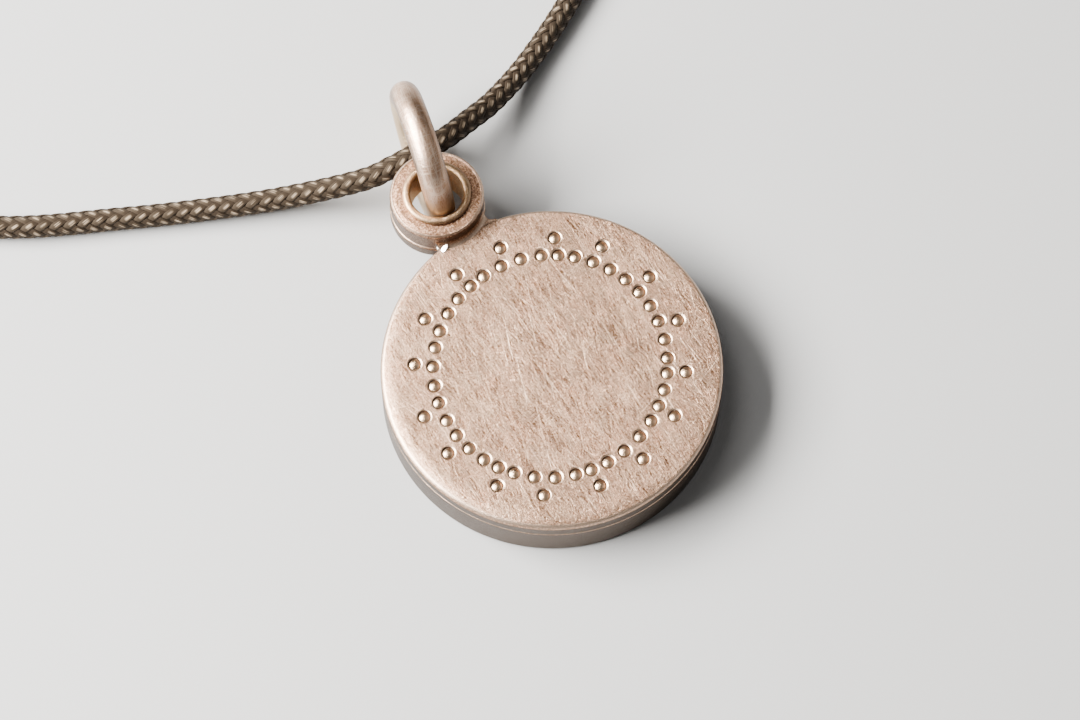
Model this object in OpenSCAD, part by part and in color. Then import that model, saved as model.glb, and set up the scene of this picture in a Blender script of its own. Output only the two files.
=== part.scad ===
// Round metal locket on a braided cord, lying face up on a flat surface.
// The lid swivels sideways about a tubular eyelet, and a thick wire ring passes through the eyelet.
// Millimetres. Z = 0 is the surface, the origin is the centre of the case, and +Y points to the eyelet.

/* [Case and lid] */
// Diameter of the case and its lid
case_d = 24; // [20:0.5:30]
// Height of the open box below the lid
base_h = 3.05; // [2.6:0.05:4]
// Thickness of the lid
lid_h = 1.3; // [1:0.05:2]
// Thickness of the box's wall
wall = 1; // [0.6:0.1:2]
// Thickness of the box's floor
floor_h = 0.8; // [0.5:0.1:1.5]
// Rounding of the lid's top edge and of the box's bottom edge
edge_r = 0.3; // [0.15:0.05:0.45]
// Rounding of the two edges that meet at the seam
seam_r = 0.08; // [0.05:0.01:0.2]

/* [Swivel] */
// Distance from the edge of the case to the eyelet's axis
eyelet_reach = 3; // [2.9:0.05:3.2]
// Outer radius of both knuckles
knuckle_r = 3.35; // [3.1:0.05:3.5]
// Rounding of the upper knuckle's top edge and of the lower one's bottom edge
knuckle_edge = 0.3; // [0.15:0.05:0.4]
// Height of the upper knuckle above the lid's face
knuckle_rise = 1.35; // [0.8:0.05:1.6]
// How far the lower knuckle hangs below the seam
knuckle_drop = 0.6; // [0.4:0.05:0.7]
// Inner radius of the eyelet
eyelet_bore_r = 1.9; // [1.8:0.05:1.95]
// Radius of the eyelet's collar
collar_r = 2.45; // [2.3:0.05:2.7]
// Width of the solder web between a knuckle and its disc
web_w = 3.5; // [2.6:0.1:4]

/* [Bail] */
// Thickness of the ring's wire
wire_d = 2.1; // [1.8:0.05:2.1]
// Outer diameter of the ring
ring_d = 10.7; // [10.2:0.1:11]
// Turn of the ring about the eyelet, clockwise from +Y
ring_heading = 15; // [0:0.5:30]
// Lean of the ring from upright
ring_lean = 2.2; // [0:0.1:4]

/* [Cord] */
// Diameter of the cord
cord_d = 1.7; // [1.5:0.1:1.8]
// Length of the sleeve that joins the cord's ends
clasp_len = 10; // [8:1:14]
// Diameter of that sleeve
clasp_d = 3; // [2.6:0.1:4]

/* [Punched marks] */
// Diameter of one mark
mark_d = 1.1; // [0.8:0.05:1.12]
// Depth of a mark's groove
mark_depth = 0.15; // [0.05:0.01:0.25]
// Mean radius of the inner ring of marks
inner_ring_r = 8.3; // [7.8:0.1:8.5]
// Mean radius of the outer row of marks
outer_ring_r = 9.6; // [9.4:0.1:9.8]

/* [Hidden] */
$fn = 96;

silver = "#d9c3b0";
cord_grey = "#7d7266";

case_r = case_d / 2;
running_gap = 0.05;
lid_z = base_h + running_gap;
face_z = lid_z + lid_h;

eyelet_y = case_r + eyelet_reach;
pin_r = eyelet_bore_r + 0.25;
bore_r = pin_r + running_gap;
lower_z = base_h - knuckle_drop;
split_z = lid_z + 0.65;
upper_z = split_z + running_gap;
knuckle_top = face_z + knuckle_rise;
// Clear space that the lid leaves round the lower knuckle
relief_r = knuckle_r + 0.1;
// How deep a web bites into its disc
web_bite = 0.6;
// Countersink under the lower knuckle and the flare that sits in it
countersink_h = 0.33;
countersink_w = 0.3;

// Clear height under the ring where it nears the surface
ring_foot = 0.02;
wire_r = wire_d / 2;
ring_r = ring_d / 2 - wire_r;
// The ring hangs against the eyelet's wall on the side of the case
ring_out = ring_r + wire_r - eyelet_bore_r + running_gap;
ring_z = ring_foot + wire_r + ring_r * cos(ring_lean);

cord_r = cord_d / 2;
cord_sides = 8;
ring_gap = 5.8;
clasp_at = [-2, 155.5, clasp_d / 2];

// Angles of the marks, clockwise from +Y, as the punch left them
inner_marks = [8, 18, 28, 36, 44, 53, 62, 71, 80, 89, 98, 108, 118, 126, 135, 144, 153, 163, 174, 184,
    193, 201, 211, 221, 231, 239, 247, 256, 265, 274, 284, 293, 303, 313, 322, 332, 341, 350, 358];
outer_marks = [11, 34, 54, 78, 101, 125, 146, 170, 192, 216, 236, 261, 280, 304, 325, 349];
// Both rows lie off centre towards the eyelet and a little out of round
marks_off_centre = 0.17;
marks_oval = 0.13;
marks_oval_heading = 55;

// Route of the cord's centre from the sleeve down the left side, through the ring and back up,
// measured from the eyelet's axis on the surface
cord_route = [
    [-7, 155.5, 1.5], [-14, 154.5, 1.1], [-25, 151, 0.85], [-37, 143.5, 0.85], [-47, 132, 0.85],
    [-54, 117.5, 0.85], [-58, 101, 0.85], [-59, 84, 0.85], [-57, 65.5, 0.85], [-52, 48.5, 0.85],
    [-44.5, 34.5, 0.85], [-35.5, 23.5, 0.85], [-26.7, 16.7, 0.85], [-19.1, 12.6, 0.85], [-13.9, 10, 0.95],
    [-8.7, 7.5, 1.4], [-3.4, 5.1, 2.6], [-0.8, 4.5, 3.2], [1.6, 4.35, 3.5], [3.5, 4.4, 3.2],
    [5.9, 4.95, 2.5], [8.4, 5.6, 1.8], [12.4, 7.2, 1.05], [17.6, 9.8, 0.85], [25, 14.2, 0.85],
    [33, 20.2, 0.85], [41, 28.5, 0.85], [47.5, 39.5, 0.85], [52, 53, 0.85], [54, 68.5, 0.85],
    [54, 85, 0.85], [52.5, 101.5, 0.85], [48.5, 117, 0.85], [42, 130.5, 0.85], [33, 142, 0.85],
    [21.5, 150.5, 0.85], [10, 154.7, 1.1], [3, 155.5, 1.5]];

// Turned plate with rounded outer corners
module plate(r, z0, z1, top, bottom) {
    rotate_extrude() {
        translate([0, z0 + bottom]) square([r, z1 - z0 - top - bottom]);
        translate([0, z1 - top]) square([r - top, top]);
        translate([0, z0]) square([r - bottom, bottom]);
        translate([r - top, z1 - top]) circle(top);
        translate([r - bottom, z0 + bottom]) circle(bottom);
    }
}

module at_eyelet() {
    translate([0, eyelet_y, 0]) children();
}

// Straight hole on the eyelet's axis between two heights
module axis_hole(r, z0, z1) {
    at_eyelet() translate([0, 0, z0]) cylinder(r = r, h = z1 - z0);
}

// Ring knuckle and the web of solder that joins it to its disc
module knuckle(z0, z1, top, bottom, web_z0, web_z1) {
    at_eyelet() plate(knuckle_r, z0, z1, top, bottom);
    translate([-web_w / 2, case_r - web_bite, web_z0])
        cube([web_w, eyelet_reach - bore_r, web_z1 - web_z0]);
}

module base_case() {
    color(silver) difference() {
        union() {
            plate(case_r, 0, base_h, seam_r, edge_r);
            knuckle(lower_z, split_z, seam_r, knuckle_edge, lower_z, base_h);
        }
        translate([0, 0, floor_h]) cylinder(r = case_r - wall, h = base_h);
        axis_hole(bore_r, lower_z - 1, split_z + 1);
        at_eyelet() translate([0, 0, lower_z])
            cylinder(r1 = bore_r + countersink_w, r2 = bore_r, h = countersink_h);
    }
}

// Groove of one mark, pressed down round a dome. The outline runs from the axis outwards
module punched_groove() {
    r = mark_d / 2;
    dome_top = 0.02;
    rotate_extrude($fn = 32) polygon([[0, 0.1], [0, -dome_top], [r * 0.4, -mark_depth * 0.3],
        [r * 0.65, -mark_depth * 0.65], [r * 0.77, -mark_depth], [r * 0.84, -mark_depth], [r, 0], [r, 0.1]]);
}

// Distance from the lid's centre of a mark at angle a, in a row of mean radius r
function row_radius(a, r) =
    r + marks_off_centre * cos(a) + marks_oval * cos(2 * (a - marks_oval_heading));

module mark_row(headings, r) {
    for (a = headings) rotate(-a) translate([0, row_radius(a, r), face_z]) punched_groove();
}

module lid() {
    color(silver) difference() {
        union() {
            plate(case_r, lid_z, face_z, edge_r, seam_r);
            knuckle(upper_z, knuckle_top, knuckle_edge, seam_r, upper_z, face_z);
        }
        axis_hole(relief_r, lid_z - 1, upper_z);
        axis_hole(bore_r, lid_z - 1, knuckle_top + 1);
        mark_row(inner_marks, inner_ring_r);
        mark_row(outer_marks, outer_ring_r);
    }
}

module eyelet() {
    lip_r = (collar_r - eyelet_bore_r) / 2;
    lip_h = 0.1;
    lip_z = knuckle_top + running_gap;
    lip_top = lip_z + lip_h;
    foot_z = lower_z + 0.02;
    flare_z = lower_z + countersink_h + 0.02;
    color(silver) at_eyelet() rotate_extrude() {
        translate([eyelet_bore_r, flare_z]) square([pin_r - eyelet_bore_r, lip_top - flare_z]);
        translate([eyelet_bore_r, lip_z]) square([2 * lip_r, lip_h]);
        translate([eyelet_bore_r + lip_r, lip_top]) intersection() {
            circle(lip_r);
            translate([-lip_r, 0]) square([2 * lip_r, lip_r]);
        }
        polygon([[eyelet_bore_r, flare_z], [eyelet_bore_r + 0.2, foot_z],
            [pin_r + countersink_w - 0.02, foot_z], [pin_r, flare_z]]);
    }
}

module bail() {
    color(silver) at_eyelet() rotate([0, 0, -ring_heading]) translate([0, ring_out, ring_z])
        rotate([0, 90 - ring_lean, 0]) rotate_extrude() translate([ring_r, 0]) circle(wire_r);
}

// Point at t between two route points, on a smooth curve through them all
function between(p, i, t) =
    let (a = p[max(i - 1, 0)], b = p[i], c = p[i + 1], d = p[min(i + 2, len(p) - 1)])
    b + t / 2 * (c - a + t * (2 * a - 5 * b + 4 * c - d + t * (3 * b - a - 3 * c + d)));

function rings_in(p, i) = max(1, round(norm(p[i + 1] - p[i]) / ring_gap));

// Lifts a point whose cord would sink into the surface
function laid(at) = [at[0], at[1], max(at[2], cord_r)];

function cord_line(p) = [
    for (i = [0 : len(p) - 2]) for (k = [0 : rings_in(p, i) - 1]) laid(between(p, i, k / rings_in(p, i))),
    p[len(p) - 1]];

function unit(v) = v / norm(v);

// Direction of the line at point i. Both ends meet the sleeve square on
function heading(p, i) =
    (i == 0 || i == len(p) - 1) ? [-1, 0, 0] : unit(p[i + 1] - p[i - 1]);

function cord_ring(at, along) =
    let (side = unit(cross(along, [0, 0, 1])), rise = cross(side, along))
    [for (k = [0 : cord_sides - 1])
        at + cord_r * (cos(k * 360 / cord_sides) * side + sin(k * 360 / cord_sides) * rise)];

module cord() {
    line = cord_line(cord_route);
    count = len(line);
    n = cord_sides;
    points = [for (i = [0 : count - 1]) each cord_ring(line[i], heading(line, i))];
    faces = [
        [for (k = [0 : n - 1]) k],
        for (i = [0 : count - 2]) for (k = [0 : n - 1])
            [i * n + k, (i + 1) * n + k, (i + 1) * n + (k + 1) % n, i * n + (k + 1) % n],
        [for (k = [n - 1 : -1 : 0]) (count - 1) * n + k]];
    color(cord_grey) at_eyelet() polyhedron(points, faces);
}

module clasp() {
    color(silver) at_eyelet() translate(clasp_at - [clasp_len / 2, 0, 0]) rotate([0, 90, 0])
        plate(clasp_d / 2, 0, clasp_len, edge_r, edge_r);
}

base_case();
lid();
eyelet();
bail();
cord();
clasp();
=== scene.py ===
"""Looks of a round swivel locket: a punched silver lid on a shallow case, a wire ring, a braided cord.

Lengths are written in millimetres and turned to metres by MM where a mesh or a light is made.
"""

import math

import bmesh
import bpy
from mathutils import Matrix, Vector, noise


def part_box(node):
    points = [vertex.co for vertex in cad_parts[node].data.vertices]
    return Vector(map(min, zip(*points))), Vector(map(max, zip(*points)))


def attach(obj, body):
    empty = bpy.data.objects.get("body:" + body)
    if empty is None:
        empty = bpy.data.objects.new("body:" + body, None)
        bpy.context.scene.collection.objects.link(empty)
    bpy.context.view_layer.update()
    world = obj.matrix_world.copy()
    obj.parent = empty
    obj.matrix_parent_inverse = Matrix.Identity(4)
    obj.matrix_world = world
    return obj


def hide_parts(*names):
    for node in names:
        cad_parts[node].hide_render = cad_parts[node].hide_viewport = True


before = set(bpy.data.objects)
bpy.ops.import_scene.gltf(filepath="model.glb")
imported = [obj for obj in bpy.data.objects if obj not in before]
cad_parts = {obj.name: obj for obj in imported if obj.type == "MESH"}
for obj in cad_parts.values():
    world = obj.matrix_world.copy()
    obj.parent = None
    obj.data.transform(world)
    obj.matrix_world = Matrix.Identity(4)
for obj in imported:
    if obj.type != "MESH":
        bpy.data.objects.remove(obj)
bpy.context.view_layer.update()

MM = 0.001
FULL = 2 * math.pi


def box_mm(node):
    """Lowest and highest corner of a frame node, in millimetres."""
    low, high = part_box(node)
    return low / MM, high / MM


# Sizes read from the frame
LID_LOW, LID_HIGH = box_mm("lid")
_, BASE_HIGH = box_mm("base_case")
EYELET_LOW, EYELET_HIGH = box_mm("eyelet")
CLASP_LOW, CLASP_HIGH = box_mm("clasp")
CASE_R = LID_HIGH.x
KNUCKLE_TOP = LID_HIGH.z
SPLIT_Z = BASE_HIGH.z
COLLAR_R = EYELET_HIGH.x
COLLAR_TOP = EYELET_HIGH.z
EYELET_AT = Vector((0, (EYELET_LOW.y + EYELET_HIGH.y) / 2, 0))
KNUCKLE_R = LID_HIGH.y - EYELET_AT.y

# Sizes that the boxes don't give
GAP = 0.05
SEAM_Z = LID_LOW.z - GAP
LID_H = 1.3
FACE_Z = LID_LOW.z + LID_H
KNUCKLE_DROP = 0.6
LOWER_KNUCKLE_Z = SEAM_Z - KNUCKLE_DROP
BORE_R = 1.9
TUBE_WALL = 0.25
PIN_R = BORE_R + TUBE_WALL
KNUCKLE_BORE_R = PIN_R + GAP
KNUCKLE_EDGE = 0.32
COUNTERSINK_H = 0.33
RELIEF_R = KNUCKLE_R + 0.1
WALL = 1.0
FLOOR_H = 0.8
EDGE_R = 0.28
SEAM_R = 0.08
# The lid's edge is rubbed softer on its left side: how wide, how low, how far down at most, and where
WORN_WIDTH = 1.15
WORN_DROP = 0.24
WORN_DEPTH = 0.45
WORN_SIDE = Vector((-0.966, -0.259))
# How far a cutting tool reaches past what it cuts
PAST = 1

# The ring of round wire
WIRE_R = 1.05
RING_R = 4.3
RING_HEADING = math.radians(15)
RING_LEAN = math.radians(2.2)
RING_OUT = RING_R + WIRE_R - BORE_R + GAP
RING_FOOT = 0.02
RING_Z = RING_FOOT + WIRE_R + RING_R * math.cos(RING_LEAN)

# The cord: a round braid of sixteen yarns, eight laid each way, each over two and under two
CORD_R = 0.85
YARNS_EACH_WAY = 8
LAY_LENGTH = 8.1
YARN_WIDTH = 0.56
YARN_THICKNESS = 0.12
WEAVE_DEPTH = 0.075
YARN_CURL = 0.3
# Rings of mesh along a yarn in the distance from one yarn of its hand to the next
RINGS_A_PITCH = 5
# Where a yarn lies in the noise of its filaments: across its section, per mm along, and from yarn to yarn
FILAMENTS_ACROSS = 8.0
FILAMENTS_ALONG = 0.35
YARN_TO_YARN = 7.3
# Points of the cord's centre, the same as in the part's source, measured from the eyelet's axis
CORD_ROUTE = [
    (-7, 155.5, 1.5), (-14, 154.5, 1.1), (-25, 151, 0.85), (-37, 143.5, 0.85), (-47, 132, 0.85),
    (-54, 117.5, 0.85), (-58, 101, 0.85), (-59, 84, 0.85), (-57, 65.5, 0.85), (-52, 48.5, 0.85),
    (-44.5, 34.5, 0.85), (-35.5, 23.5, 0.85), (-26.7, 16.7, 0.85), (-19.1, 12.6, 0.85), (-13.9, 10, 0.95),
    (-8.7, 7.5, 1.4), (-3.4, 5.1, 2.6), (-0.8, 4.5, 3.2), (1.6, 4.35, 3.5), (3.5, 4.4, 3.2),
    (5.9, 4.95, 2.5), (8.4, 5.6, 1.8), (12.4, 7.2, 1.05), (17.6, 9.8, 0.85), (25, 14.2, 0.85),
    (33, 20.2, 0.85), (41, 28.5, 0.85), (47.5, 39.5, 0.85), (52, 53, 0.85), (54, 68.5, 0.85),
    (54, 85, 0.85), (52.5, 101.5, 0.85), (48.5, 117, 0.85), (42, 130.5, 0.85), (33, 142, 0.85),
    (21.5, 150.5, 0.85), (10, 154.7, 1.1), (3, 155.5, 1.5)]

# The punched marks: angles clockwise from +Y in degrees, the same as in the part's source
INNER_MARKS = [8, 18, 28, 36, 44, 53, 62, 71, 80, 89, 98, 108, 118, 126, 135, 144, 153, 163, 174, 184,
               193, 201, 211, 221, 231, 239, 247, 256, 265, 274, 284, 293, 303, 313, 322, 332, 341, 350, 358]
OUTER_MARKS = [11, 34, 54, 78, 101, 125, 146, 170, 192, 216, 236, 261, 280, 304, 325, 349]
INNER_ROW_R = 8.3
OUTER_ROW_R = 9.6
MARKS_OFF_CENTRE = 0.17
MARKS_OVAL = 0.13
MARKS_OVAL_HEADING = 55
MARK_R = 0.565

# The finish. Its relief and reach are in mm. Strokes are headings in degrees, each with what it adds
# to the share of its kind of scratch
METAL_RELIEF = 0.005
FILAMENT_RELIEF = 0.015
GROOVE_REACH = 0.4
STROKE_BEND = 0.7
GRAINS_PER_MM = 7.0
SCRATCH_EDGE = 0.11
HEAT_STAIN = 0.4
FINE_STROKES = ((8, -0.03), (31, -0.02), (55, 0), (72, 0.02), (84, 0.04), (93, 0.05),
                (103, 0.04), (121, 0.01), (147, -0.02), (168, -0.03))
DARK_STROKES = ((15, 0), (64, 0.02), (81, 0.04), (98, 0.04), (114, 0.02), (160, 0))
LONG_STROKES = ((20, 0), (68, 0.01), (90, 0.02), (107, 0.01), (152, 0))
WIRE_STROKES = ((0, 0.04), (12, 0), (-12, 0), (60, -0.02), (-55, -0.02), (85, 0))

# The camera of the photograph: where it looks and from where
PICTURE_HEADING = math.radians(32.8)
CAMERA_ELEVATION = math.radians(68.2)
CAMERA_DISTANCE = 310
CAMERA_TARGET = Vector((0.54, 2.35, 0))
LENS_MM = 145.3


# Small tools for nodes and colours

def linear(hex_colour):
    """An sRGB hex colour as linear RGBA."""
    values = [int(hex_colour[i:i + 2], 16) / 255 for i in (1, 3, 5)]
    return [v / 12.92 if v <= 0.04045 else ((v + 0.055) / 1.055) ** 2.4 for v in values] + [1.0]


def feed(tree, node, inputs):
    """Gives each input of a node a value, or a link from another node's output."""
    for key, value in inputs.items():
        if isinstance(value, bpy.types.NodeSocket):
            tree.links.new(value, node.inputs[key])
        else:
            node.inputs[key].default_value = value


def add(tree, kind, inputs=None, **settings):
    """Adds a node with its settings and inputs."""
    node = tree.nodes.new(kind)
    for name, value in settings.items():
        setattr(node, name, value)
    feed(tree, node, inputs or {})
    return node


def from_picture(right, away, up):
    """A place or heading as the photograph shows it, turned to the object's own frame."""
    cos, sin = math.cos(PICTURE_HEADING), math.sin(PICTURE_HEADING)
    return Vector((right * cos + away * sin, -right * sin + away * cos, up))


def in_scene(name, data):
    """A new object of that name in the scene."""
    piece = bpy.data.objects.new(name, data)
    bpy.context.collection.objects.link(piece)
    return piece


# Camera, lights and floor

def aim(piece, place, target):
    """Puts a camera or light at a place and points it at a target, both in millimetres."""
    piece.location = place * MM
    piece.rotation_euler = (target - place).to_track_quat("-Z", "Y").to_euler()


def build_camera():
    """The photograph's own view of the locket."""
    data = bpy.data.cameras.new("camera")
    data.lens = LENS_MM
    data.clip_start = 0.01
    data.clip_end = 20
    camera = in_scene("camera", data)
    back = from_picture(0, -math.cos(CAMERA_ELEVATION), math.sin(CAMERA_ELEVATION))
    aim(camera, CAMERA_TARGET + CAMERA_DISTANCE * back, CAMERA_TARGET)
    bpy.context.scene.camera = camera


def softbox(name, place, wide, high, watts, colour):
    """A soft rectangular light that faces the middle of the case."""
    data = bpy.data.lights.new(name, "AREA")
    data.shape = "RECTANGLE"
    data.size = wide * MM
    data.size_y = high * MM
    data.energy = watts
    data.color = linear(colour)[:3]
    aim(in_scene(name, data), place, Vector((0, 0, 0)))


def build_light():
    """A strong key from the left, a small light above, a weak fill and a dim pale room."""
    softbox("key_softbox", from_picture(-250, 15, 200), wide=290, high=150, watts=9.2, colour="#fffaf2")
    softbox("top_softbox", from_picture(-94, 40, 285), wide=118, high=118, watts=0.23, colour="#fffaf4")
    softbox("fill_softbox", from_picture(230, 60, 200), wide=260, high=200, watts=0.1, colour="#fffaf4")
    world = bpy.data.worlds.new("studio")
    world.use_nodes = True
    room = world.node_tree.nodes["Background"]
    room.inputs["Color"].default_value = linear("#c0bdba")
    room.inputs["Strength"].default_value = 0.16
    bpy.context.scene.world = world


def build_floor():
    """A wide floor of pale matt board, which is stage and no part of the locket."""
    bm = bmesh.new()
    bmesh.ops.create_grid(bm, x_segments=2, y_segments=2, size=3)
    floor = as_object("floor", bm)
    floor.data.materials.append(plain_material("pale_matt_board", "#aeb0b3", 0.85))


# Materials

def new_material(name):
    """A material, its node tree and its shader."""
    material = bpy.data.materials.new(name)
    material.use_nodes = True
    return material, material.node_tree, material.node_tree.nodes["Principled BSDF"]


def plain_material(name, colour, roughness, metallic=0.0):
    """A material that is the same all over."""
    material, tree, shader = new_material(name)
    feed(tree, shader, {"Base Color": linear(colour), "Metallic": metallic, "Roughness": roughness})
    return material


def object_mm(tree):
    """Object coordinates in millimetres."""
    where = add(tree, "ShaderNodeTexCoord").outputs["Object"]
    return add(tree, "ShaderNodeVectorMath", {0: where, 3: 1 / MM}, operation="SCALE").outputs[0]


def upward(tree):
    """How far the surface faces up, from -1 to 1."""
    normal = add(tree, "ShaderNodeNewGeometry").outputs["Normal"]
    return add(tree, "ShaderNodeSeparateXYZ", {0: normal}).outputs[2]


def flat_distance(tree, where, place):
    """Distance in millimetres from the upright line through a place."""
    away = add(tree, "ShaderNodeVectorMath", {0: where, 1: place}, operation="SUBTRACT").outputs[0]
    flat = add(tree, "ShaderNodeVectorMath", {0: away, 1: (1, 1, 0)}, operation="MULTIPLY").outputs[0]
    return add(tree, "ShaderNodeVectorMath", {0: flat}, operation="LENGTH").outputs["Value"]


def scratch_set(tree, where, heading, seed, width, length, share):
    """Scratches one way, sized in mm: noise drawn out along its heading and kept where it peaks.

    The share kept sets how many there are."""
    turned_to = add(tree, "ShaderNodeMapping", {
        "Vector": where, "Location": (seed, seed * 1.7, seed), "Rotation": (0, 0, math.radians(heading)),
        "Scale": (length, width, width)}, vector_type="TEXTURE").outputs[0]
    drawn = add(tree, "ShaderNodeTexNoise", {"Vector": turned_to, "Scale": 1.0, "Detail": 1.0}).outputs["Fac"]
    return add(tree, "ShaderNodeMapRange", {
        "Value": drawn, "From Min": 1 - share, "From Max": 1 - share + SCRATCH_EDGE}).outputs[0]


def scratches(tree, where, strokes, width, length, share):
    """Scratches of one kind. strokes gives each heading in degrees and how far it adds to the share."""
    field = None
    for number, (heading, extra) in enumerate(strokes):
        one = scratch_set(tree, where, heading, 3.1 * number + width, width, length, share + extra)
        field = one if field is None else add(tree, "ShaderNodeMath", {
            0: field, 1: one}, operation="MAXIMUM").outputs[0]
    return field


def tarnish_and_painted_shade(tree, colour, painted_side_shade_share, corner_oxide_and_shade_share, side_top):
    """Dark brown painted on. Down the sides it is painted shade, standing for the dark room that they would
    reflect; in hollows and corners it is partly tarnished silver and partly painted shade.
    """
    # Painted shade: faces that turn away from upright are painted darker
    side = add(tree, "ShaderNodeMapRange", {
        "Value": upward(tree), "From Min": side_top - 0.25, "From Max": side_top, "To Min": painted_side_shade_share,
        "To Max": 0.0}).outputs[0]
    # Darker in hollows and corners: partly tarnished brown, partly painted shade
    shelter = add(tree, "ShaderNodeAmbientOcclusion", {
        "Distance": GROOVE_REACH * MM}, samples=6).outputs["AO"]
    corner = add(tree, "ShaderNodeMapRange", {
        "Value": shelter, "From Min": 0.1, "From Max": 0.5, "To Min": 1.0, "To Max": 0.0}).outputs[0]
    corner = add(tree, "ShaderNodeMath", {0: corner, 1: corner_oxide_and_shade_share}, operation="MULTIPLY").outputs[0]
    share = add(tree, "ShaderNodeMath", {0: side, 1: corner}, operation="MAXIMUM").outputs[0]
    return add(tree, "ShaderNodeMix", {
        0: share, 6: colour, 7: linear("#3f3226")}, data_type="RGBA").outputs[2]


def edge_wear_and_painted_highlight(tree, colour, wear_and_highlight_share):
    """Faces tilted between flat and upright get a pale bright silver: partly edges rubbed bare, partly a
    painted highlight on rounded edges.
    """
    up = upward(tree)
    off_face = add(tree, "ShaderNodeMapRange", {"Value": up, "From Min": 0.98, "From Max": 0.9}).outputs[0]
    off_side = add(tree, "ShaderNodeMapRange", {
        "Value": up, "From Min": 0.45, "From Max": 0.75, "To Max": wear_and_highlight_share}).outputs[0]
    share = add(tree, "ShaderNodeMath", {0: off_face, 1: off_side}, operation="MULTIPLY").outputs[0]
    return add(tree, "ShaderNodeMix", {
        0: share, 6: colour, 7: linear("#f0d6c0")}, data_type="RGBA").outputs[2]


def round_the_eyelet(tree, where):
    """How far a place is on the knuckles, whose mat is coarser, and how far soldering heat stained it."""
    far = flat_distance(tree, where, EYELET_AT)
    on_knuckle = add(tree, "ShaderNodeMapRange", {
        "Value": far, "From Min": KNUCKLE_R + 0.1, "From Max": KNUCKLE_R}).outputs[0]
    lid_heat = add(tree, "ShaderNodeMapRange", {
        "Value": far, "From Min": KNUCKLE_R + 1.3, "From Max": KNUCKLE_R + 0.2,
        "To Max": HEAT_STAIN}).outputs[0]
    from_joint = flat_distance(tree, where, Vector((0, CASE_R, 0)))
    knuckle_heat = add(tree, "ShaderNodeMapRange", {
        "Value": from_joint, "From Min": 4.0, "From Max": 1.5, "To Max": HEAT_STAIN}).outputs[0]
    stain = add(tree, "ShaderNodeMix", {
        0: on_knuckle, 2: lid_heat, 3: knuckle_heat}, data_type="FLOAT").outputs[0]
    return on_knuckle, stain


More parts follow.
